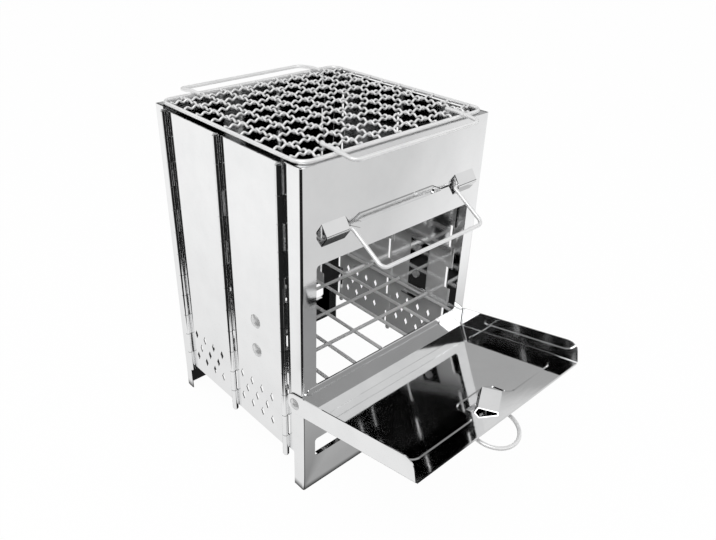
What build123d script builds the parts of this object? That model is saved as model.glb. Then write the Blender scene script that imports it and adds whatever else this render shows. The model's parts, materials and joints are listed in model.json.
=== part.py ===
from build123d import *
import os
from math import atan2, cos, degrees, radians, sin, sqrt

# Folding sheet steel grill: two U-shaped panels joined by side walls that fold inwards on long
# hinges, a front door with a pull ring, a bail, a fire grate of wires and a lift-off wire grill.
# Millimetres. While it is modelled x = 0 is the middle, y = 0 the outer face of the front panel and
# z = 0 the ground. At the end everything moves along y, to put the origin under the middle.

# Overall sizes and sheet
box_width = 187.5
box_depth = 180.0
panel_height = 280.0
sheet = 0.8
bend_radius = 1.6
running_gap = 0.3
bore_clearance = 0.05

# Side walls and their hinges
wall_bottom = 33.0
wall_top_gap = 2.0
front_hinge_y = 20.0
rear_hinge_setback = 16.0
barrel_radius = 2.5
pin_radius = 1.1
pin_head_radius = 1.9
pin_head_height = 0.8
leaf_notch = 3.5
knuckle_count = 12
hinge_bottom = 28.5
knuckle_gap = 0.4

# Flanges of the panels, shorter below the step
flange_step_z = 35.5
front_foot_depth = 11.5
rear_foot_depth = 9.5
top_lip_depth = 7.0
top_lip_inset = 2.0

# Openings in the panels
window_side_margin = 13.25
window_bottom = 104.0
window_top_margin = 73.0
window_corner = 3.0
slot_side_margin = 12.25
slot_bottom = 31.0
slot_top = 49.0
slot_corner = 2.5
slot_lip_depth = 3.0
slot_lip_margin = 3.5
bead_side_margin = 4.25
bead_height = 6.0
bead_below_window = 4.0
bead_rise = 0.4

# Vents in the side walls
vent_height = 9.0
vent_width = 4.5
vent_side_margin = 12.1
vent_columns = 4
vent_rows = ((50.0, 0), (62.0, 1), (74.0, 0))
vent_shift = 3.5

# Bail and what holds it
bail_above_window = 21.8
bail_shift = 2.3
bump_side_margin = 15.25
bump_length = 21.0
bump_height = 17.0
bump_reach = 6.0
bump_ridge_round = 1.2
bump_inner_relief = 6.0
bump_outer_relief = 5.0
bump_relief_round = 3.0
bail_wire = 1.5
bail_length = 36.8
bail_open_angle = 58.0
bail_corner = 5.0
bail_narrowing = 0.5
bail_end_inset = 3.0
bail_leg_gap = 2.0
bail_root_corner = 3.5
rib_above_axis = 0.9
rib_height = 12.0
rib_rise = 1.0
rib_left_gap = 2.0
rib_right_gap = 14.5
rib_point = 12.0
rib_slit_width = 1.2
rib_recess_above = 2.0
rib_recess_end = 10.0
rib_recess_height = 6.0

# Door, drawn in its own frame: u runs out along the plate, v is square to it
door_pivot_y = 8.2
door_pivot_z = 88.0
door_rest_angle = 12.0
door_side_gap = 0.7
door_plate_v = -8.9
door_flange_v = 8.6
door_overlap = 4.5
door_hinge_gap = 0.5
door_tip_round = 8.0
hem_depth = 4.0
field_rise = 0.6
field_slope = 60.0
field_start = 19.0
field_tip_margin = 14.5
field_side_margin = 12.95
field_corner = 7.0
notch_x = 4.7
notch_width = 40.0
notch_depth = 20.4
door_rivet_radius = 2.5
door_rivet_head_radius = 5.0
door_rivet_head_height = 1.8
door_rivet_tail_radius = 4.0
door_rivet_tail_height = 1.2
door_rivet_play = 0.1

# Pull ring, the loop pressed outwards from the door that holds it, and the catch inside the door
loop_from_tip = 23.5
loop_x = -6.0
loop_play = 0.7
loop_length = 11.0
ring_wire = 1.5
ring_radius = 19.0
ring_chord_half = 6.0
ring_chord_corner = 4.0
ring_tilt = 22.0
catch_from_tip = 18.6
catch_x = 6.5
catch_turn = 31.0
catch_length = 28.0
catch_width = 14.3
catch_flank = 3.0
catch_high_side = 4.6
catch_low_side = 1.6

# Brackets that carry the fire grate at the front, and ledges at the rear
ledge_top = 91.3
bracket_sheet = 1.2
bracket_from_hinge = 24.0
bracket_length = 22.0
bracket_top = 146.0
bracket_ledge_reach = 9.0
bracket_rivet_setback = 13.0
bracket_rivet_heights = (110.5, 138.0)
bracket_rivet_radius = 2.0
bracket_rivet_head_radius = 6.0
bracket_rivet_head_height = 2.2
bracket_rivet_tail_radius = 3.6
bracket_rivet_tail_height = 1.5
rear_ledge_x = 40.0
rear_ledge_width = 16.0
rear_ledge_reach = 9.0

# Fire grate
grate_wire = 1.5
grate_long_count = 7
grate_end_gap = 1.7
grate_cross_front_gap = 5.0
grate_cross_rear_gap = 5.5
grate_cross_last_step = 23.9
grate_cross_count = 5
grate_cross_end_gap = 0.35
weld_gap = 0.05

# Grill on top
grill_frame_wire = 1.5
grill_frame_inset = 3.4
grill_frame_corner = 10.0
mesh_wire = 0.9
mesh_count = 9
mesh_side_gap = 16.19
mesh_end_gap = 12.72
mesh_level = 0.95
mesh_rise = 0.4
handle_wire = 1.5
handle_side_inset = 28.1
handle_reach = 15.0
handle_overlap = 13.6
handle_drop = 2.2
handle_corner = 5.0
handle_bend = 12.0

# Places worked out from the sizes above
half_width = box_width / 2
wall_top = panel_height - wall_top_gap
window_width = box_width - 2 * window_side_margin
window_top = panel_height - window_top_margin
slot_width = box_width - 2 * slot_side_margin
wall_middle_x = half_width - sheet / 2
inner_x = half_width - sheet
hinge_x = half_width + barrel_radius - sheet
rear_hinge_y = box_depth - rear_hinge_setback
middle_hinge_y = (front_hinge_y + rear_hinge_y) / 2
leaf_length = middle_hinge_y - front_hinge_y
vent_pitch = (leaf_length - 2 * leaf_notch - 2 * vent_side_margin) / (vent_columns - 1)
knuckle_pitch = (wall_top - hinge_bottom) / knuckle_count
bore_radius = pin_radius + bore_clearance
front_plane = Plane.XY
rear_plane = Plane(origin=(0, box_depth, 0), x_dir=(-1, 0, 0), z_dir=(0, 0, 1))

nodes = {}


def keep(name, piece):
    """Name a finished piece and put it on the list of pieces to write."""
    piece.part.label = name
    nodes[name] = piece


def at_side(side, y=0.0, z=0.0):
    """Plane on the inner face of a side wall, with y forward-to-back and the normal pointing out."""
    return Plane(origin=(side * inner_x, y, z), x_dir=(0, side, 0), z_dir=(side, 0, 0))


def u_channel(plane, depth, bottom, top):
    """A sheet bent into a U, with its web along the plane's x axis and its flanges along y."""
    with BuildSketch(plane.offset(bottom)) as profile:
        Rectangle(box_width, depth, align=(Align.CENTER, Align.MIN))
        fillet(vertices().group_by(Axis.Y)[0], bend_radius)
    extrude(profile.sketch, amount=top - bottom)
    with BuildSketch(plane.offset(bottom)) as profile:
        with Locations((0, sheet)):
            Rectangle(2 * inner_x, depth, align=(Align.CENTER, Align.MIN))
        fillet(vertices().group_by(Axis.Y)[0], bend_radius - sheet)
    extrude(profile.sketch, amount=top - bottom, mode=Mode.SUBTRACT)


def knuckle_span(index):
    """Lowest and highest z of one knuckle."""
    low = hinge_bottom + index * knuckle_pitch + knuckle_gap / 2
    return low, low + knuckle_pitch - knuckle_gap


def knuckles(side, axis_y, toward, first, lowest):
    """Every second knuckle of a hinge, rolled from a leaf that lies toward -1 or +1 along y."""
    for index in range(first, knuckle_count, 2):
        low, high = knuckle_span(index)
        with BuildSketch(Plane.XY.offset(low)) as profile:
            with Locations((side * hinge_x, axis_y)):
                Circle(barrel_radius)
        extrude(profile.sketch, amount=high - low)
        tongue_low = max(low, lowest)
        with BuildSketch(Plane.XY.offset(tongue_low)) as profile:
            with Locations((side * wall_middle_x, axis_y + toward * leaf_notch / 2)):
                Rectangle(sheet, leaf_notch)
        extrude(profile.sketch, amount=high - tongue_low)
        with BuildSketch(Plane.XY.offset(low)) as profile:
            with Locations((side * hinge_x, axis_y)):
                Circle(bore_radius)
        extrude(profile.sketch, amount=high - low, mode=Mode.SUBTRACT)


def round_hole(plane, radius, depth):
    """A round hole from the plane along its normal."""
    with BuildSketch(plane) as profile:
        Circle(radius)
    extrude(profile.sketch, amount=depth, mode=Mode.SUBTRACT)


def low_slot(plane):
    """The wide slot low in a panel, with a narrow lip turned inwards along its lower edge."""
    with BuildSketch(Plane(plane.origin, x_dir=plane.x_dir, z_dir=-plane.y_dir)) as profile:
        with Locations((0, (slot_bottom + slot_top) / 2)):
            RectangleRounded(slot_width, slot_top - slot_bottom, slot_corner)
    extrude(profile.sketch, amount=sheet + bend_radius, both=True, mode=Mode.SUBTRACT)
    with BuildSketch(plane.offset(slot_bottom - sheet)) as profile:
        with Locations((0, sheet)):
            Rectangle(slot_width - 2 * slot_lip_margin, slot_lip_depth, align=(Align.CENTER, Align.MIN))
    extrude(profile.sketch, amount=sheet)


def top_lip(plane):
    """The lip along a panel's top edge that the grill's frame rests on."""
    with BuildSketch(plane.offset(panel_height - sheet)) as profile:
        with Locations((0, sheet)):
            Rectangle(box_width - 2 * top_lip_inset, top_lip_depth, align=(Align.CENTER, Align.MIN))
    extrude(profile.sketch, amount=sheet)


# Front panel
front_face = Plane.XZ
bail_axis_z = window_top + bail_above_window
pressed_x = half_width - bump_side_margin - bump_length / 2
bump_inner_x = pressed_x - bump_length / 2
bump_slant = sqrt(bump_reach ** 2 + (bump_height / 2) ** 2)
bump_hollow_half = bump_height / 2 - sheet * bump_slant / bump_reach
bump_hollow_reach = bump_reach - 2 * sheet * bump_slant / bump_height
rib_start_x = bail_shift - bump_inner_x + rib_left_gap
rib_end_x = bail_shift + bump_inner_x - rib_right_gap
rib_middle_x = (rib_start_x + rib_end_x) / 2
rib_half = (rib_end_x - rib_start_x) / 2
rib_middle_z = bail_axis_z + rib_above_axis
bead_centre_z = window_bottom - bead_below_window
bead_width = box_width - 2 * bead_side_margin
door_pivot_round = front_hinge_y - barrel_radius - door_hinge_gap - door_pivot_y
with BuildPart() as front_panel:
    u_channel(front_plane, front_foot_depth, 0, flange_step_z)
    u_channel(front_plane, front_hinge_y - leaf_notch, flange_step_z, panel_height)
    top_lip(front_plane)
    low_slot(front_plane)
    for side in (-1, 1):
        knuckles(side, front_hinge_y, -1, 0, flange_step_z)
        round_hole(at_side(side, door_pivot_y, door_pivot_z), door_rivet_radius + bore_clearance, sheet)
    # the window
    with BuildSketch(front_face):
        with Locations((0, (window_bottom + window_top) / 2)):
            RectangleRounded(window_width, window_top - window_bottom, window_corner)
    extrude(amount=-sheet, mode=Mode.SUBTRACT)
    # the bead under the window
    with BuildSketch(front_face):
        with Locations((0, bead_centre_z)):
            SlotOverall(bead_width, bead_height)
    extrude(amount=bead_rise)
    with BuildSketch(front_face.offset(-sheet)):
        with Locations((0, bead_centre_z)):
            SlotOverall(bead_width - 2 * sheet, bead_height - 2 * sheet)
    extrude(amount=bead_rise, mode=Mode.SUBTRACT)
    # the raised rib between the bail's bumps, pointed at its ends, with a long recess along it
    with BuildSketch(front_face):
        with Locations((rib_middle_x, rib_middle_z)):
            Polygon((-rib_half, 0), (rib_point - rib_half, -rib_height / 2), (rib_half - rib_point, -rib_height / 2),
                    (rib_half, 0), (rib_half - rib_point, rib_height / 2), (rib_point - rib_half, rib_height / 2))
    extrude(amount=rib_rise, taper=30)
    with BuildSketch(front_face.offset(rib_rise)):
        with Locations((rib_middle_x, rib_middle_z + rib_recess_above)):
            SlotOverall(2 * (rib_half - rib_recess_end), rib_recess_height)
    extrude(amount=-rib_rise, mode=Mode.SUBTRACT)
    # the bumps that hold the bail: cut free at both ends and pressed out to a ridge
    for side in (-1, 1):
        middle_x = bail_shift + side * pressed_x
        with BuildSketch(front_face):
            with Locations((middle_x, bail_axis_z)):
                Rectangle(bump_length, 2 * bump_hollow_half)
                Polygon((-side * bump_length / 2, bump_height / 2), (-side * bump_length / 2, -bump_height / 2),
                        (-side * (bump_length / 2 + bump_inner_relief), 0), align=None)
        extrude(amount=-sheet, mode=Mode.SUBTRACT)
        with BuildSketch(front_face):
            with Locations((middle_x, bail_axis_z)):
                Polygon((side * bump_length / 2, bump_height / 2), (side * bump_length / 2, -bump_height / 2),
                        (side * (bump_length / 2 + bump_outer_relief), 0), align=None)
            fillet(vertices().sort_by(Axis.X)[-1 if side > 0 else 0], bump_relief_round)
        extrude(amount=-sheet, mode=Mode.SUBTRACT)
        with BuildSketch(Plane.YZ.offset(middle_x - bump_length / 2)):
            with Locations((0, bail_axis_z)):
                Polygon((0, bump_height / 2), (-bump_reach, 0), (0, -bump_height / 2), align=None)
            fillet(vertices().sort_by(Axis.X)[0], bump_ridge_round + sheet)
            with Locations((0, bail_axis_z)):
                Polygon((0, bump_hollow_half), (-bump_hollow_reach, 0), (0, -bump_hollow_half), align=None,
                        mode=Mode.SUBTRACT)
        extrude(amount=bump_length)
    # the slit from the rib to the cut beside the right bump
    with BuildSketch(front_face):
        with Locations((rib_end_x - rib_slit_width, bail_axis_z + rib_above_axis)):
            Rectangle(rib_right_gap - bump_inner_relief + 3 * rib_slit_width, rib_slit_width,
                      align=(Align.MIN, Align.CENTER))
    extrude(amount=-sheet, mode=Mode.SUBTRACT)
keep("front_panel", front_panel)

# Rear panel, with two ledges turned in from it for the fire grate
with BuildPart() as rear_panel:
    u_channel(rear_plane, rear_foot_depth, 0, flange_step_z)
    u_channel(rear_plane, rear_hinge_setback - leaf_notch, flange_step_z, panel_height)
    top_lip(rear_plane)
    low_slot(rear_plane)
    for side in (-1, 1):
        knuckles(side, rear_hinge_y, 1, 1, flange_step_z)
    with BuildSketch(rear_plane.offset(ledge_top - sheet)):
        with Locations((-rear_ledge_x, sheet), (rear_ledge_x, sheet)):
            Rectangle(rear_ledge_width, rear_ledge_reach, align=(Align.CENTER, Align.MIN))
    extrude(amount=sheet)
    with BuildSketch(Plane.XZ.offset(-box_depth)):
        with Locations((-rear_ledge_x, ledge_top), (rear_ledge_x, ledge_top)):
            Rectangle(rear_ledge_width, rear_ledge_reach, align=(Align.CENTER, Align.MIN))
    extrude(amount=sheet, mode=Mode.SUBTRACT)
keep("rear_panel", rear_panel)


def vents(side, leaf_start):
    """Three rows of diamond vents, centred a little to the rear of the leaf's middle."""
    middle_y = leaf_start + leaf_length / 2 + vent_shift
    diamond = [(0, vent_height / 2), (vent_width / 2, 0), (0, -vent_height / 2), (-vent_width / 2, 0)]
    with BuildSketch(at_side(side)) as profile:
        for row_z, fewer in vent_rows:
            count = vent_columns - fewer
            for number in range(count):
                along = middle_y + (number - (count - 1) / 2) * vent_pitch
                with Locations((side * along, row_z)):
                    Polygon(*diamond)
    extrude(profile.sketch, amount=sheet, mode=Mode.SUBTRACT)


def leaf(side, start, first_at_start, first_at_end):
    """Half of a side wall, with knuckles along both upright edges."""
    with BuildSketch(Plane.XY.offset(wall_bottom)) as profile:
        with Locations((side * wall_middle_x, start + leaf_length / 2)):
            Rectangle(sheet, leaf_length - 2 * leaf_notch)
    extrude(profile.sketch, amount=wall_top - wall_bottom)
    knuckles(side, start, 1, first_at_start, wall_bottom)
    knuckles(side, start + leaf_length, -1, first_at_end, wall_bottom)
    vents(side, start)


# Side walls, each in two halves
bracket_start_y = front_hinge_y + bracket_from_hinge
bracket_rivet_y = bracket_start_y + bracket_rivet_setback
for side, side_name in ((-1, "left"), (1, "right")):
    with BuildPart() as front_half:
        leaf(side, front_hinge_y, 1, 0)
        for rivet_z in bracket_rivet_heights:
            round_hole(at_side(side, bracket_rivet_y, rivet_z), bracket_rivet_radius + bore_clearance, sheet)
    keep(side_name + "_front_wall", front_half)
    with BuildPart() as rear_half:
        leaf(side, middle_hinge_y, 1, 0)
    keep(side_name + "_rear_wall", rear_half)

# Hinge pins with peened ends
for side, side_name in ((-1, "left"), (1, "right")):
    for place, axis_y in (("front", front_hinge_y), ("middle", middle_hinge_y), ("rear", rear_hinge_y)):
        with BuildPart() as pin:
            with BuildSketch(Plane.XY.offset(hinge_bottom)):
                with Locations((side * hinge_x, axis_y)):
                    Circle(pin_radius)
            extrude(amount=wall_top - hinge_bottom)
            for head_z in (hinge_bottom - pin_head_height, wall_top):
                with BuildSketch(Plane.XY.offset(head_z)):
                    with Locations((side * hinge_x, axis_y)):
                        Circle(pin_head_radius)
                extrude(amount=pin_head_height)
        keep(side_name + "_" + place + "_hinge_pin", pin)

# Door, a shallow tray drawn open as it stands at rest
door_angle = radians(door_rest_angle)
door_out = Vector(0, -cos(door_angle), sin(door_angle))
door_normal = Vector(0, sin(door_angle), cos(door_angle))
door_pivot = Vector(0, door_pivot_y, door_pivot_z)
flange_inner_x = half_width + door_side_gap
flange_outer_x = flange_inner_x + sheet
door_under_v = door_plate_v - sheet
door_tip = window_top - door_pivot_z + door_overlap
door_heel = (door_pivot_y + running_gap + door_plate_v * sin(door_angle)) / cos(door_angle)
field_end = door_tip - field_tip_margin
field_width = 2 * (flange_inner_x - field_side_margin)
loop_u = door_tip - loop_from_tip
loop_inner_radius = 2 * ring_wire + loop_play
catch_u = door_tip - catch_from_tip


def door_point(x, u, v):
    """A point given along the door plate and square to it, in the model's own frame."""
    return door_pivot + Vector(x, 0, 0) + door_out * u + door_normal * v


def door_level(v):
    """Plane parallel to the plate: local x runs to the left and local y out along the plate."""
    return Plane(door_point(0, 0, v), x_dir=(-1, 0, 0), z_dir=door_normal)


def door_side(x):
    """Plane square to the pivot line, facing left: local x is u and local y is v."""
    return Plane(door_point(x, 0, 0), x_dir=door_out, z_dir=(-1, 0, 0))


def door_section(u, half, floor_v, corner):
    """Cross-section of the tray from one flange to the other, open at the top."""
    with BuildSketch(Plane(door_point(0, u, 0), x_dir=(1, 0, 0), z_dir=door_out)) as profile:
        with Locations((0, floor_v)):
            Rectangle(2 * half, door_flange_v - floor_v, align=(Align.CENTER, Align.MIN))
        fillet(vertices().group_by(Axis.Y)[0], corner)
    return profile.sketch


def field_outline(inset):
    """The raised field of the plate, with a notch in its outer edge round the loop and the catch."""
    with Locations((0, (field_start + field_end) / 2)):
        Rectangle(field_width - 2 * inset, field_end - field_start - 2 * inset)
    with Locations((-notch_x, field_end - notch_depth - inset)):
        Rectangle(notch_width + 2 * inset, field_end, align=(Align.CENTER, Align.MIN), mode=Mode.SUBTRACT)
    fillet(vertices(), field_corner)


with BuildPart() as door:
    tray_outside = door_section(-door_pivot_round, flange_outer_x, door_under_v, bend_radius)
    extrude(tray_outside, amount=door_tip + door_pivot_round)
    tray_inside = door_section(-door_pivot_round, flange_inner_x, door_plate_v, bend_radius - sheet)
    extrude(tray_inside, amount=door_tip + door_pivot_round, mode=Mode.SUBTRACT)
    # side view: round about the rivets, rounded top corners at the tip
    with BuildSketch(door_side(0)):
        with Locations((0, door_under_v)):
            Rectangle(door_tip, door_flange_v - door_under_v, align=Align.MIN)
        fillet(vertices().group_by(Axis.X)[-1].sort_by(Axis.Y)[-1:], door_tip_round)
        Circle(door_pivot_round)
    extrude(amount=flange_outer_x, both=True, mode=Mode.INTERSECT)
    # the plate stops short of the panel, and its edge is the stop of the open door
    with BuildSketch(door_level(door_under_v)):
        with Locations((0, -door_pivot_round)):
            Rectangle(2 * flange_inner_x, door_pivot_round + door_heel, align=(Align.CENTER, Align.MIN))
    extrude(amount=door_flange_v - door_under_v, mode=Mode.SUBTRACT)
    # the raised field
    with BuildSketch(door_level(door_plate_v)):
        field_outline(0)
    extrude(amount=field_rise, taper=field_slope)
    with BuildSketch(door_level(door_under_v)):
        field_outline(sheet)
    extrude(amount=field_rise, taper=field_slope, mode=Mode.SUBTRACT)
    # the hem under the front edge
    with BuildSketch(door_level(door_under_v)):
        with Locations((0, door_tip - hem_depth)):
            Rectangle(2 * half_width, hem_depth, align=(Align.CENTER, Align.MIN))
    extrude(amount=-sheet)
    # the loop for the ring, open at both ends
    with BuildSketch(door_level(door_plate_v)):
        with Locations((-loop_x, loop_u)):
            Rectangle(loop_length, 2 * loop_inner_radius)
    extrude(amount=-sheet, mode=Mode.SUBTRACT)
    with BuildSketch(door_side(loop_x + loop_length / 2)):
        with Locations((loop_u, door_under_v)):
            Circle(loop_inner_radius + sheet)
            Circle(loop_inner_radius, mode=Mode.SUBTRACT)
            Rectangle(2 * door_tip, door_tip, align=(Align.CENTER, Align.MIN), mode=Mode.SUBTRACT)
    extrude(amount=loop_length)
    # the holes that turn on the rivets
    with BuildSketch(door_side(0)):
        Circle(door_rivet_radius + bore_clearance)
    extrude(amount=flange_outer_x, both=True, mode=Mode.SUBTRACT)
keep("door", door)

# Catch, a low sheet tunnel set askew on the inner face of the door, higher on its inner side
catch_angle = radians(catch_turn)
catch_along = Vector(-1, 0, 0) * cos(catch_angle) + door_out * sin(catch_angle)
catch_middle = door_point(catch_x, catch_u, door_plate_v)
catch_end = Plane(catch_middle, x_dir=door_normal.cross(catch_along), z_dir=catch_along)
catch_high_x = -catch_width / 2
catch_low_x = catch_width / 2
with BuildPart() as door_catch:
    with BuildSketch(catch_end):
        Polygon((catch_high_x - catch_flank, 0), (catch_high_x, catch_high_side),
                (catch_low_x, catch_low_side), (catch_low_x, 0), align=None)
        Polygon((catch_high_x - catch_flank + sheet, 0), (catch_high_x + sheet / 2, catch_high_side - sheet),
                (catch_low_x - sheet, catch_low_side - sheet), (catch_low_x - sheet, 0), align=None,
                mode=Mode.SUBTRACT)
    extrude(amount=catch_length / 2, both=True)
keep("door_catch", door_catch)

# Pull ring: a short straight run inside the loop, the rest one big arc
ring_axis_v = door_under_v - loop_inner_radius + ring_wire + running_gap
ring_lean = radians(ring_tilt)
ring_away = door_out * cos(ring_lean) - door_normal * sin(ring_lean)
ring_plane = Plane(door_point(loop_x, loop_u, ring_axis_v), x_dir=(1, 0, 0),
                   z_dir=Vector(1, 0, 0).cross(ring_away))
ring_centre = ring_chord_corner + sqrt((ring_radius - ring_chord_corner) ** 2 - ring_chord_half ** 2)
corner_turn = 90 + degrees(atan2(ring_chord_corner - ring_centre, ring_chord_half))
with BuildPart() as door_ring:
    with BuildLine(ring_plane) as ring_path:
        chord = Line((-ring_chord_half, 0), (ring_chord_half, 0))
        corner = JernArc(start=chord @ 1, tangent=chord % 1, radius=ring_chord_corner, arc_size=corner_turn)
        bow = JernArc(start=corner @ 1, tangent=corner % 1, radius=ring_radius,
                      arc_size=360 - 2 * corner_turn)
        JernArc(start=bow @ 1, tangent=bow % 1, radius=ring_chord_corner, arc_size=corner_turn)
    with BuildSketch(Plane(ring_path.line @ 0, z_dir=ring_path.line % 0)):
        Circle(ring_wire)
    sweep(path=ring_path.line)
keep("door_ring", door_ring)


def rivet(plane, grip, radius, head_radius, head_height, tail_radius, tail_height):
    """A rivet turned about the plane's local y, with its domed head's underside on local y = 0."""
    with BuildSketch(plane) as profile:
        with BuildLine():
            Polyline((0, head_height), (0, -grip - tail_height), (tail_radius, -grip - tail_height),
                     (tail_radius, -grip), (radius, -grip), (radius, 0), (head_radius, 0))
            TangentArc((0, head_height), (head_radius, 0), tangent=(1, 0))
        make_face()
    revolve(profile.sketch, axis=Axis(plane.origin, plane.y_dir))


def rivet_plane(side, x, y, z):
    """Plane through a rivet in a side wall, with local y pointing out of the box."""
    return Plane(origin=(side * x, y, z), x_dir=(0, 1, 0), z_dir=(0, 0, -side))


# Rivets that the door turns on, and the brackets inside the walls with their rivets
for side, side_name in ((-1, "left"), (1, "right")):
    with BuildPart() as door_rivet:
        head_x = flange_outer_x + door_rivet_play
        rivet(rivet_plane(side, head_x, door_pivot_y, door_pivot_z), head_x - inner_x, door_rivet_radius,
              door_rivet_head_radius, door_rivet_head_height, door_rivet_tail_radius, door_rivet_tail_height)
    keep(side_name + "_door_rivet", door_rivet)
    with BuildPart() as grate_bracket:
        bracket_plane = Plane(origin=(side * inner_x, bracket_start_y, 0), x_dir=(-side, 0, 0),
                              z_dir=(0, side, 0))
        with BuildSketch(bracket_plane):
            with Locations((0, ledge_top - bracket_sheet)):
                Rectangle(bracket_sheet + bracket_ledge_reach, bracket_sheet, align=Align.MIN)
                Rectangle(bracket_sheet, bracket_top - ledge_top + bracket_sheet, align=Align.MIN)
        extrude(amount=side * bracket_length)
        for rivet_z in bracket_rivet_heights:
            round_hole(at_side(side, bracket_rivet_y, rivet_z).offset(-bracket_sheet),
                       bracket_rivet_radius + bore_clearance, bracket_sheet)
    keep(side_name + "_grate_bracket", grate_bracket)
    with BuildPart() as bracket_rivets:
        for rivet_z in bracket_rivet_heights:
            rivet(rivet_plane(side, half_width, bracket_rivet_y, rivet_z), sheet + bracket_sheet,
                  bracket_rivet_radius, bracket_rivet_head_radius, bracket_rivet_head_height,
                  bracket_rivet_tail_radius, bracket_rivet_tail_height)
    keep(side_name + "_bracket_rivets", bracket_rivets)

# Bail, a wire bow whose ends turn in the bumps
bail_axis_y = -bump_hollow_reach + 2 * (bail_wire + running_gap) * bump_slant / bump_height
bail_lean = radians(bail_open_angle)
bail_away = Vector(0, -sin(bail_lean), -cos(bail_lean))
bail_plane = Plane((bail_shift, bail_axis_y, bail_axis_z), x_dir=(1, 0, 0),
                   z_dir=Vector(1, 0, 0).cross(bail_away))
bail_root_x = bump_inner_x - bail_leg_gap - bail_wire
bail_bar_x = bail_root_x - bail_narrowing
bail_end_x = bump_inner_x + bump_length - bail_end_inset
with BuildPart() as bail_handle:
    with BuildLine(bail_plane) as bail_path:
        FilletPolyline((-bail_end_x, 0), (-bail_root_x, 0), (-bail_bar_x, bail_length),
                       (bail_bar_x, bail_length), (bail_root_x, 0), (bail_end_x, 0),
                       radius=[bail_root_corner, bail_corner, bail_corner, bail_root_corner])
    with BuildSketch(Plane(bail_path.line @ 0, z_dir=bail_path.line % 0)):
        Circle(bail_wire)
    sweep(path=bail_path.line)
keep("bail_handle", bail_handle)

# Fire grate: long wires on the ledges, cross wires welded on top of them
grate_long_z = ledge_top + running_gap + grate_wire
grate_cross_z = grate_long_z + 2 * grate_wire + weld_gap
grate_first_y = sheet + grate_end_gap
grate_last_y = box_depth - sheet - grate_end_gap
grate_long_reach = inner_x - bracket_sheet - running_gap - grate_wire
grate_cross_reach = inner_x - bracket_sheet - grate_cross_end_gap
grate_pitch = 2 * grate_long_reach / (grate_long_count - 1)
with BuildPart() as fire_grate_long_wires:
    with BuildSketch(Plane.XZ.offset(-grate_first_y)):
        with Locations((0, grate_long_z)):
            with GridLocations(grate_pitch, 0, grate_long_count, 1):
                Circle(grate_wire)
    extrude(amount=grate_first_y - grate_last_y)
keep("fire_grate_long_wires", fire_grate_long_wires)
grate_cross_last_y = box_depth - grate_cross_rear_gap
grate_cross_span = grate_cross_last_y - grate_cross_last_step - grate_cross_front_gap
grate_cross_pitch = grate_cross_span / (grate_cross_count - 1)
grate_cross_places = [grate_cross_front_gap + number * grate_cross_pitch
                      for number in range(grate_cross_count)]
grate_cross_places.append(grate_cross_last_y)
with BuildPart() as fire_grate_cross_wires:
    with BuildSketch(Plane.YZ):
        with Locations(*[(place, grate_cross_z) for place in grate_cross_places]):
            Circle(grate_wire)
    extrude(amount=grate_cross_reach, both=True)
keep("fire_grate_cross_wires", fire_grate_cross_wires)

# Grill on top: a wire frame, two layers of mesh wires and two handles
grill_z = panel_height + running_gap + grill_frame_wire
frame_half_x = half_width - grill_frame_inset
frame_half_y = box_depth / 2 - grill_frame_inset
frame_plane = Plane((0, box_depth / 2, grill_z))
with BuildPart() as grill_frame:
    with BuildLine(frame_plane) as frame_path:
        FilletPolyline((frame_half_x, -frame_half_y), (frame_half_x, frame_half_y),
                       (-frame_half_x, frame_half_y), (-frame_half_x, -frame_half_y),
                       radius=grill_frame_corner, close=True)
    with BuildSketch(Plane(frame_path.line @ 0, z_dir=frame_path.line % 0)):
        Circle(grill_frame_wire)
    sweep(path=frame_path.line)
keep("grill_frame", grill_frame)

mesh_z = grill_z + mesh_rise
frame_inner = grill_frame_wire + weld_gap
mesh_pitch_x = 2 * (frame_half_x - mesh_side_gap) / (mesh_count - 1)
mesh_pitch_y = 2 * (frame_half_y - mesh_end_gap) / (mesh_count - 1)
with BuildPart() as grill_long_wires:
    with BuildSketch(Plane.XZ.offset(-box_depth / 2)):
        with Locations((0, mesh_z + mesh_level)):
            with GridLocations(mesh_pitch_x, 0, mesh_count, 1):
                Circle(mesh_wire)
    extrude(amount=frame_half_y - frame_inner, both=True)
keep("grill_long_wires", grill_long_wires)
with BuildPart() as grill_cross_wires:
    with BuildSketch(Plane.YZ):
        with Locations((box_depth / 2, mesh_z - mesh_level)):
            with GridLocations(mesh_pitch_y, 0, mesh_count, 1):
                Circle(mesh_wire)
    extrude(amount=frame_half_x - frame_inner, both=True)
keep("grill_cross_wires", grill_cross_wires)

handle_top_z = grill_z + grill_frame_wire + handle_wire + weld_gap
for end, end_name in ((-1, "front"), (1, "rear")):
    middle = box_depth / 2
    frame_y = middle + end * frame_half_y
    inner_y = frame_y - end * handle_overlap
    bar_y = middle + end * (middle + handle_reach)
    half = frame_half_x - handle_side_inset
    with BuildPart() as grill_handle:
        with BuildLine() as handle_path:
            FilletPolyline((-half, inner_y, handle_top_z), (-half, frame_y, handle_top_z),
                           (-half, bar_y, handle_top_z - handle_drop),
                           (half, bar_y, handle_top_z - handle_drop),
                           (half, frame_y, handle_top_z), (half, inner_y, handle_top_z),
                           radius=[handle_bend, handle_corner, handle_corner, handle_bend])
        with BuildSketch(Plane(handle_path.line @ 0, z_dir=handle_path.line % 0)):
            Circle(handle_wire)
        sweep(path=handle_path.line)
    keep("grill_" + end_name + "_handle", grill_handle)

# Move everything along y, so that the origin is on the ground under the middle of the whole
boxes = [piece.part.bounding_box() for piece in nodes.values()]
shift_y = -(min(box.min.Y for box in boxes) + max(box.max.Y for box in boxes)) / 2

os.makedirs("parts", exist_ok=True)
for name, piece in nodes.items():
    placed = piece.part.moved(Location((0, shift_y, 0)))
    placed.label = name
    export_step(placed, "parts/" + name + ".step")
print("moved along y by", round(shift_y, 3))
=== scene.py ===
"""Folding grill of polished sheet steel: its looks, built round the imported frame."""

import json
import math

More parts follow.
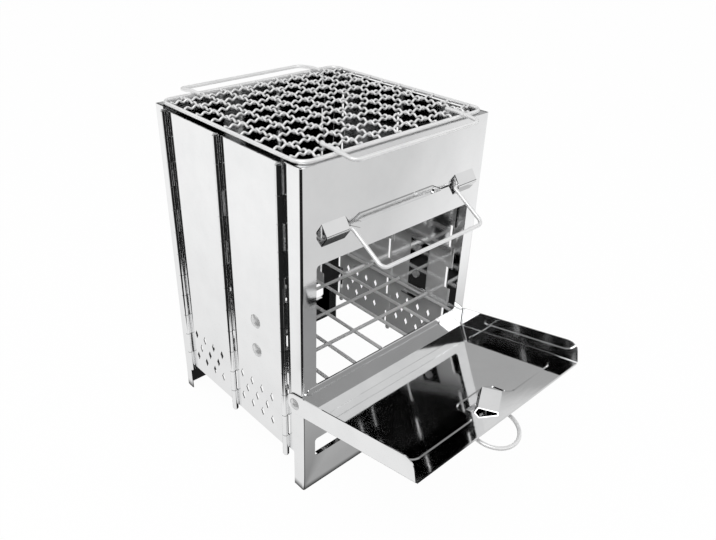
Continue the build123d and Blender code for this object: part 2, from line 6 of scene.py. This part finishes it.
import bpy
import bmesh
from mathutils import Matrix, Vector


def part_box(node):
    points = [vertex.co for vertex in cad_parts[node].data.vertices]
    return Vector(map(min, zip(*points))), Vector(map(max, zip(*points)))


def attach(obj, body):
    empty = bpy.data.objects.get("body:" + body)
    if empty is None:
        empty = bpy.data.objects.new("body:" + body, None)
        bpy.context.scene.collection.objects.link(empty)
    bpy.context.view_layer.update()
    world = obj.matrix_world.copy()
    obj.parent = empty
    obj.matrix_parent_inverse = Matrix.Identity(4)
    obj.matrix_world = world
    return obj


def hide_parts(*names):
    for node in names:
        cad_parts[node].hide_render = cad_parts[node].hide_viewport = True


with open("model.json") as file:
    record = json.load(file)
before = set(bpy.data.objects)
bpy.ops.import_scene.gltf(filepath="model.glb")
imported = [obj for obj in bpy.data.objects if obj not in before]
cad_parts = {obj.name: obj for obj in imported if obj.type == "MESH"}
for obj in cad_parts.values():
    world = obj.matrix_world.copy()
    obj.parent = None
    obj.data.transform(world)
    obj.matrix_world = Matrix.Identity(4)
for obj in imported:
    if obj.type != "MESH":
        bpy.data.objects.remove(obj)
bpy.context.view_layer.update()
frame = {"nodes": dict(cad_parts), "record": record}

IMAGE_W, IMAGE_H = 716, 540
MM = 0.001

# Places read from the frame
panel_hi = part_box("front_panel")[1]
rear_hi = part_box("rear_panel")[1]
long_lo, long_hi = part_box("grill_long_wires")
cross_lo, cross_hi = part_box("grill_cross_wires")
BOX_DEPTH = 180 * MM
FRONT_Y = rear_hi.y - BOX_DEPTH
REAR_Y = rear_hi.y
HALF_W = 93.75 * MM
DULL_BELOW, DULL_ENDS = 130 * MM, 165 * MM
DULL_METALLIC = 0.45


# Node helpers
class Tree:
    """A material's node tree with short calls for what the materials share."""

    def __init__(self, name, world=False):
        self.mat = bpy.data.worlds.new(name) if world else bpy.data.materials.new(name)
        self.mat.use_nodes = True
        self.nt = self.mat.node_tree
        self.nt.nodes.clear()
        self.out = self.node("OutputWorld" if world else "OutputMaterial")

    def node(self, kind, **settings):
        n = self.nt.nodes.new("ShaderNode" + kind)
        for key, value in settings.items():
            setattr(n, key, value)
        return n

    def put(self, value, socket):
        if isinstance(value, bpy.types.NodeSocket):
            self.nt.links.new(value, socket)
        else:
            socket.default_value = value

    def coords(self, scale=(1, 1, 1)):
        c = self.node("TexCoord")
        m = self.node("Mapping")
        self.nt.links.new(c.outputs["Object"], m.inputs["Vector"])
        m.inputs["Scale"].default_value = scale
        return m.outputs["Vector"]

    def noise(self, vector, scale=5.0, detail=3.0, rough=0.5, distortion=0.0):
        n = self.node("TexNoise")
        self.put(vector, n.inputs["Vector"])
        n.inputs["Scale"].default_value = scale
        n.inputs["Detail"].default_value = detail
        n.inputs["Roughness"].default_value = rough
        n.inputs["Distortion"].default_value = distortion
        return n.outputs["Fac"]

    def remap(self, value, low, high, to_low, to_high, smooth=False):
        m = self.node("MapRange", interpolation_type="SMOOTHSTEP" if smooth else "LINEAR")
        self.put(value, m.inputs["Value"])
        m.inputs["From Min"].default_value = low
        m.inputs["From Max"].default_value = high
        m.inputs["To Min"].default_value = to_low
        m.inputs["To Max"].default_value = to_high
        return m.outputs["Result"]

    def math(self, operation, a, b=0.0, clamp=False):
        m = self.node("Math", operation=operation, use_clamp=clamp)
        self.put(a, m.inputs[0])
        self.put(b, m.inputs[1])
        return m.outputs[0]

    def mix(self, factor, a, b):
        m = self.node("Mix", data_type="RGBA")
        self.put(factor, m.inputs["Factor"])
        self.put(a, m.inputs[6])
        self.put(b, m.inputs[7])
        return m.outputs[2]

    def bump(self, height, strength, distance, normal=None):
        b = self.node("Bump")
        b.inputs["Strength"].default_value = strength
        b.inputs["Distance"].default_value = distance
        self.put(height, b.inputs["Height"])
        if normal is not None:
            self.put(normal, b.inputs["Normal"])
        return b.outputs["Normal"]

    def metal(self, colour, roughness, normal, shine=1.0):
        p = self.node("BsdfPrincipled")
        p.inputs["Metallic"].default_value = shine
        self.put(colour, p.inputs["Base Color"])
        self.put(roughness, p.inputs["Roughness"])
        if normal is not None:
            self.put(normal, p.inputs["Normal"])
        self.nt.links.new(p.outputs["BSDF"], self.out.inputs["Surface"])
        return p


def grey(value, tint=0.0):
    """A nearly neutral grey; tint above 0 leans to blue."""
    return (value - tint, value, value + tint, 1.0)


def polish(t):
    """Colour, roughness and normal of polished sheet: broad waves, smudges and a faint upright grain."""
    flat = t.coords()
    broad = t.noise(flat, scale=9.0, detail=1.5)
    smudge = t.noise(flat, scale=38.0, detail=5.0, rough=0.6)
    grain = t.noise(t.coords(scale=(90, 90, 1600)), scale=1.0, detail=2.0)
    colour = t.mix(t.remap(smudge, 0.35, 0.7, 0.0, 1.0), grey(0.88, 0.002), grey(0.84, 0.003))
    rough = t.math("ADD", t.remap(smudge, 0.35, 0.75, 0.035, 0.07), t.remap(grain, 0.3, 0.7, 0.0, 0.02))
    normal = t.bump(grain, 0.04, 0.0002, t.bump(broad, 0.2, 0.003))
    return colour, rough, normal


def sheet_steel():
    t = Tree("polished_sheet")
    t.metal(*polish(t))
    return t.mat


def wall_steel(name, outward):
    """Polished sheet whose inner face, low in the fire box, is duller; outward is the outer face's x."""
    t = Tree(name)
    place = t.node("SeparateXYZ")
    t.put(t.node("NewGeometry").outputs["Position"], place.inputs[0])
    facing = t.node("SeparateXYZ")
    t.put(t.node("NewGeometry").outputs["True Normal"], facing.inputs[0])
    inner = t.remap(t.math("MULTIPLY", facing.outputs[0], outward), -0.6, -0.4, 1.0, 0.0, True)
    low = t.remap(place.outputs[2], DULL_BELOW, DULL_ENDS, 1.0, 0.0, True)
    p = t.metal(*polish(t))
    t.put(t.remap(t.math("MULTIPLY", inner, low), 0.0, 1.0, 1.0, DULL_METALLIC), p.inputs["Metallic"])
    return t.mat


def wire_steel():
    t = Tree("drawn_wire")
    flat = t.coords()
    speck = t.noise(flat, scale=420.0, detail=4.0)
    soft = t.noise(flat, scale=60.0, detail=2.0)
    colour = t.mix(t.remap(soft, 0.35, 0.7, 0.0, 1.0), grey(0.95), grey(0.88, 0.003))
    rough = t.remap(speck, 0.3, 0.75, 0.30, 0.38)
    normal = t.bump(speck, 0.02, 0.0001)
    t.metal(colour, rough, normal, shine=0.42)
    return t.mat


def speckled_steel(name, scale, light, dark, rough, relief, shine=1.0):
    """Metal with fine specks; rough is its lowest and highest roughness, relief the strength of its bump."""
    t = Tree(name)
    speck = t.noise(t.coords(), scale=scale, detail=4.0)
    colour = t.mix(t.remap(speck, 0.35, 0.7, 0.0, 1.0), light, dark)
    t.metal(colour, t.remap(speck, 0.3, 0.7, *rough), t.bump(speck, relief, 0.0002), shine=shine)
    return t.mat


materials = {
    "sheet": sheet_steel(),
    "wire": wire_steel(),
    "hinge": speckled_steel("rolled_hinge", 300.0, grey(0.62), grey(0.50, 0.003), (0.16, 0.30), 0.15),
    "rivet": speckled_steel("satin_rivet", 260.0, grey(0.72), grey(0.62, 0.004), (0.20, 0.30), 0.08,
                            shine=0.55),
}


def slot_of(node):
    for part in frame["record"]["subparts"]:
        if part["node"] == node:
            return part["material_slot"]
    return "sheet"


for name, obj in frame["nodes"].items():
    obj.data.materials.clear()
    obj.data.materials.append(materials[slot_of(name)])
for side, outward in (("left", -1.0), ("right", 1.0)):
    material = wall_steel("polished_%s_wall" % side, outward)
    for half in ("front", "rear"):
        frame["nodes"]["%s_%s_wall" % (side, half)].data.materials[0] = material


# Tubes along a line
def tube_mesh(name, paths, radius, sides=12):
    """Closed round tubes along lists of points, with flat ends, as one mesh."""
    bm = bmesh.new()
    for points in paths:
        pts = [Vector(p) for p in points]
        rings = []
        up = None
        for i, p in enumerate(pts):
            ahead = pts[min(i + 1, len(pts) - 1)] - pts[max(i - 1, 0)]
            ahead.normalize()
            if up is None:
                up = Vector((0, 0, 1)) if abs(ahead.z) < 0.9 else Vector((1, 0, 0))
            side = ahead.cross(up).normalized()
            up = side.cross(ahead).normalized()
            rings.append([bm.verts.new(p + (side * math.cos(a) + up * math.sin(a)) * radius)
                          for a in (2 * math.pi * k / sides for k in range(sides))])
        for a, b in zip(rings, rings[1:]):
            for k in range(sides):
                bm.faces.new((a[k], a[(k + 1) % sides], b[(k + 1) % sides], b[k]))
        bm.faces.new(rings[0][::-1])
        bm.faces.new(rings[-1])
    bmesh.ops.recalc_face_normals(bm, faces=bm.faces)
    for face in bm.faces:
        face.smooth = len(face.verts) == 4
    mesh = bpy.data.meshes.new(name)
    bm.to_mesh(mesh)
    bm.free()
    obj = bpy.data.objects.new(name, mesh)
    bpy.context.scene.collection.objects.link(obj)
    return obj


# The crimped mesh of the grill
WIRE_R = 0.9 * MM
WIRE_COUNT = 9
HALF_WAVES = 5
CRIMP = 0.95 * MM
WAVE_STEPS = 200
mesh_mid = Vector((0.0, (long_lo.y + long_hi.y) / 2, (long_hi.z + cross_lo.z) / 2))
pitch_x = (long_hi.x - long_lo.x - 2 * WIRE_R) / (WIRE_COUNT - 1)
pitch_y = (cross_hi.y - cross_lo.y - 2 * WIRE_R) / (WIRE_COUNT - 1)
half = (WIRE_COUNT - 1) / 2


def crimped(along, places, pitch, start, end, sign):
    """Wires that weave over and under the others; along is 0 for x or 1 for y."""
    paths = []
    for j, place in enumerate(places):
        pts = []
        for s in range(WAVE_STEPS + 1):
            t = start + (end - start) * s / WAVE_STEPS
            z = sign * (-1) ** j * math.cos(HALF_WAVES * math.pi * t / pitch) * CRIMP
            x, y = (t, place) if along == 0 else (place, t)
            pts.append((x, mesh_mid.y + y, mesh_mid.z + z))
        paths.append(pts)
    return paths


places_x = [(i - half) * pitch_x for i in range(WIRE_COUNT)]
places_y = [(i - half) * pitch_y for i in range(WIRE_COUNT)]
cross = tube_mesh("mesh_cross_wires", crimped(0, places_y, pitch_x, cross_lo.x, cross_hi.x, 1), WIRE_R)
long_paths = crimped(1, places_x, pitch_y, long_lo.y - mesh_mid.y, long_hi.y - mesh_mid.y, -1)
long = tube_mesh("mesh_long_wires", long_paths, WIRE_R)
for obj, node in ((cross, "grill_cross_wires"), (long, "grill_long_wires")):
    obj.data.materials.append(materials["wire"])
    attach(obj, "top_grill")
    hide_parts(node)


# Camera, at the photograph's place
def make_camera():
    data = bpy.data.cameras.new("camera")
    cam = bpy.data.objects.new("camera", data)
    bpy.context.scene.collection.objects.link(cam)
    focal_px = 676.465
    centre_px = (335.11, 271.81)
    data.sensor_width = 36.0
    data.lens = focal_px * 36.0 / IMAGE_W
    data.shift_x = (IMAGE_W / 2 - centre_px[0]) / IMAGE_W
    data.shift_y = (centre_px[1] - IMAGE_H / 2) / IMAGE_W
    data.clip_start = 0.01
    data.clip_end = 50
    right = Vector((0.7475458, -0.66400999, 0.01630998))
    up = Vector((0.32488335, 0.38695234, 0.86297085))
    back = Vector((-0.57933245, -0.63981139, 0.50499039))
    turn = Matrix((right, up, back)).transposed().to_4x4()
    place = Vector((-243.71 * MM - HALF_W, -302.582 * MM + FRONT_Y, 435.268 * MM))
    cam.matrix_world = Matrix.Translation(place) @ turn
    bpy.context.scene.camera = cam


make_camera()


# Stage and light
FLOOR_HALF = 6.0
WHITE_TO_CAMERA = 0.97


def link(obj):
    bpy.context.scene.collection.objects.link(obj)
    return obj


# lowest floor tone seen in reflections: dark on the near side, and painted shadow under the box
FAR_TONE, NEAR_AND_SHADOW_TONE = 0.8, 0.015
LEFT_EDGE_SLOPE = 1.1
EDGE = 4 * MM


def floor_mirrored(t):
    """How bright the floor is for reflections, a painted reflection: pale left of the grill and right in front
    of it, black on the near side between the two, where the hinges' barrels look, and black inside the box as
    painted shadow."""
    place = t.node("TexCoord").outputs["Object"]
    split = t.node("SeparateXYZ")
    t.put(place, split.inputs[0])
    x, y = split.outputs[0], split.outputs[1]
    left = t.math("MAXIMUM", t.math("SUBTRACT", -HALF_W, x), 0.0)
    ahead = t.math("MAXIMUM", t.math("SUBTRACT", FRONT_Y, y), 0.0)
    from_left = t.math("MAXIMUM", t.math("ADD", x, HALF_W), 0.001)
    behind_line = t.math("SUBTRACT", t.math("SUBTRACT", y, FRONT_Y), t.math("MULTIPLY", left, LEFT_EDGE_SLOPE))
    beside_door = t.math("MULTIPLY", t.remap(y, FRONT_Y - 0.10, FRONT_Y - 0.07, 0, 1, True),
                         t.remap(left, 0.09, 0.12, 1, 0, True))
    pale_left = t.math("MAXIMUM", t.remap(behind_line, -0.03, 0.03, 0, 1, True), beside_door)
    on_left = t.math("MULTIPLY", pale_left, t.remap(left, 0, EDGE, 0, 1))
    left_tone = t.math("MULTIPLY", on_left, t.remap(left, 0.0, 0.25, 0.86, 1.0))
    slope = t.math("DIVIDE", ahead, from_left)
    in_front = t.math("MULTIPLY", t.remap(slope, 1.25, 1.45, 1, 0, True), t.remap(ahead, 0, EDGE, 0, 1))
    front_tone = t.math("MULTIPLY", t.remap(slope, 0.45, 0.75, 1.0, 0.70),
                        t.remap(ahead, 0.01, 0.17, 0.40, 1.0))
    on_right = t.math("MULTIPLY", t.remap(x, HALF_W, HALF_W + 0.02, 0, FAR_TONE), t.remap(ahead, 0, EDGE, 1, 0))
    beyond = t.math("MAXIMUM", t.remap(y, REAR_Y, REAR_Y + 0.02, 0, FAR_TONE), on_right)
    total = t.math("MAXIMUM", left_tone, t.math("MULTIPLY", in_front, front_tone))
    return t.math("MAXIMUM", t.math("MAXIMUM", total, beyond), NEAR_AND_SHADOW_TONE)


def make_floor():
    mesh = bpy.data.meshes.new("floor")
    r = FLOOR_HALF
    mesh.from_pydata([(-r, -r, 0), (r, -r, 0), (r, r, 0), (-r, r, 0)], [], [(0, 1, 2, 3)])
    obj = link(bpy.data.objects.new("floor", mesh))
    t = Tree("floor_white")
    diffuse = t.node("BsdfDiffuse")
    diffuse.inputs["Color"].default_value = (0.9, 0.9, 0.9, 1)
    path = t.node("LightPath")
    white = t.node("Emission")
    mirrored = t.node("Emission")
    # painted reflection: glossy rays see this emission pattern, painted shadow included, instead of the floor's
    # lit shade
    t.put(floor_mirrored(t), mirrored.inputs["Strength"])
    seen = t.node("MixShader")
    t.put(t.math("MULTIPLY", path.outputs["Is Camera Ray"], WHITE_TO_CAMERA), seen.inputs[0])
    t.put(diffuse.outputs[0], seen.inputs[1])
    t.put(white.outputs[0], seen.inputs[2])
    mix = t.node("MixShader")
    t.put(path.outputs["Is Glossy Ray"], mix.inputs[0])
    t.put(seen.outputs[0], mix.inputs[1])
    t.put(mirrored.outputs[0], mix.inputs[2])
    t.put(mix.outputs[0], t.out.inputs["Surface"])
    obj.data.materials.append(t.mat)


DARK_SKY, OVERHEAD_TONE = 0.02, 0.45


def sky_mirrored(t):
    """How bright the sky is for reflections: pale overhead, white in front to the right and behind to
    the left, half as bright behind to the right, and dark on the near side and along the horizon."""
    split = t.node("SeparateXYZ")
    t.put(t.node("TexCoord").outputs["Generated"], split.inputs[0])
    x, y, z = split.outputs

    def towards(degrees_round):
        turn = math.radians(degrees_round)
        return t.math("ADD", t.math("MULTIPLY", x, math.cos(turn)), t.math("MULTIPLY", y, math.sin(turn)))

    def patch(degrees_round, low, high, z_low, z_high, tone):
        side = t.remap(towards(degrees_round), low, high, 0, 1, True)
        return t.math("MULTIPLY", t.math("MULTIPLY", side, t.remap(z, z_low, z_high, 0, 1, True)), tone)

    patches = [t.remap(z, 0.75, 0.95, 0.0, 1.0, True),
               patch(-48, 0.25, 0.55, 0.16, 0.28, 1.0),
               patch(132, 0.25, 0.55, 0.22, 0.34, 0.95),
               patch(46, 0.55, 0.85, 0.14, 0.26, 0.50),
               patch(38, 0.45, 0.75, 0.38, 0.45, 0.95)]
    total = DARK_SKY
    for tone in patches:
        total = t.math("MAXIMUM", tone, total)
    return t.math("MULTIPLY", total, t.remap(z, 0.58, 0.72, 1.0, OVERHEAD_TONE, True))


def make_world():
    t = Tree("studio", world=True)
    bpy.context.scene.world = t.mat
    path = t.node("LightPath")
    white = t.node("Background")
    white.inputs["Color"].default_value = (1, 1, 1, 1)
    soft = t.node("Background")
    soft.inputs["Color"].default_value = (0.75, 0.75, 0.75, 1)
    mirrored = t.node("Background")
    t.put(sky_mirrored(t), mirrored.inputs["Strength"])
    by_gloss = t.node("MixShader")
    t.put(path.outputs["Is Glossy Ray"], by_gloss.inputs[0])
    t.put(soft.outputs[0], by_gloss.inputs[1])
    t.put(mirrored.outputs[0], by_gloss.inputs[2])
    mix = t.node("MixShader")
    t.put(path.outputs["Is Camera Ray"], mix.inputs[0])
    t.put(by_gloss.outputs[0], mix.inputs[1])
    t.put(white.outputs[0], mix.inputs[2])
    t.put(mix.outputs[0], t.out.inputs["Surface"])


def painted_shade_card(name, lo, hi, centre):
    """A flat black card of painted shade between two corners that only reflections on the centre's side can
    see.
    """
    mesh = bpy.data.meshes.new(name)
    lo, hi = Vector(lo), Vector(hi)
    flat = min(range(3), key=lambda axis: hi[axis] - lo[axis])
    across, along = [axis for axis in range(3) if axis != flat]
    corners = []
    for first, second in ((lo, lo), (hi, lo), (hi, hi), (lo, hi)):
        corner = lo.copy()
        corner[across], corner[along] = first[across], second[along]
        corners.append(corner)
    normal = (corners[1] - corners[0]).cross(corners[2] - corners[1])
    if normal.dot(Vector(centre) - lo) < 0:
        corners.reverse()
    mesh.from_pydata(corners, [], [(0, 1, 2, 3)])
    obj = link(bpy.data.objects.new(name, mesh))
    t = Tree(name + "_shade_black")
    black = t.node("Emission")
    black.inputs["Strength"].default_value = 0.0
    clear = t.node("BsdfTransparent")
    mix = t.node("MixShader")
    t.put(t.node("NewGeometry").outputs["Backfacing"], mix.inputs[0])
    t.put(black.outputs[0], mix.inputs[1])
    t.put(clear.outputs[0], mix.inputs[2])
    t.put(mix.outputs[0], t.out.inputs["Surface"])
    mesh.materials.append(t.mat)
    obj.visible_camera = obj.visible_diffuse = obj.visible_transmission = obj.visible_shadow = False


def area(name, place, aim, size, watts):
    data = bpy.data.lights.new(name, "AREA")
    data.shape = "RECTANGLE"
    data.size, data.size_y = size
    data.energy = watts
    obj = link(bpy.data.objects.new(name, data))
    direction = Vector(aim) - Vector(place)
    turn = direction.to_track_quat("-Z", "Y").to_matrix().to_4x4()
    obj.matrix_world = Matrix.Translation(Vector(place)) @ turn


make_floor()
make_world()
# what the painted-shade cards cover: the mesh, the window, the two low slots and the gaps under the side walls,
# so reflections see the box's inside as black
INSIDE = (0.0, (FRONT_Y + REAR_Y) / 2, 0.14)
INSET = 2 * MM
SLOT_HALF = 82 * MM
WINDOW_LOW, WINDOW_HIGH = 102 * MM, 209 * MM
SLOT_LOW, SLOT_HIGH = 29 * MM, 51 * MM
WALL_FOOT = 34 * MM
painted_shade_card("painted_shade_under_mesh", (INSET - HALF_W, FRONT_Y + INSET, panel_hi.z - INSET),
          (HALF_W - INSET, REAR_Y - INSET, panel_hi.z - INSET), INSIDE)
painted_shade_card("painted_shade_in_window", (-SLOT_HALF, FRONT_Y + INSET, WINDOW_LOW),
          (SLOT_HALF, FRONT_Y + INSET, WINDOW_HIGH), INSIDE)
for end, place in (("front", FRONT_Y + 4 * INSET), ("rear", REAR_Y - 4 * INSET)):
    painted_shade_card("card_in_%s_slot" % end, (-SLOT_HALF, place, SLOT_LOW), (SLOT_HALF, place, SLOT_HIGH), INSIDE)
for side, place in (("left", INSET - HALF_W), ("right", HALF_W - INSET)):
    painted_shade_card("card_under_%s_wall" % side, (place, FRONT_Y + INSET, 0.0), (place, REAR_Y - INSET, WALL_FOOT),
              INSIDE)
area("key", (-0.7, -0.5, 1.2), (0, 0, 0.1), (1.0, 1.0), 8)

view = bpy.context.scene.view_settings
view.view_transform = "Standard"

bpy.context.view_layer.update()
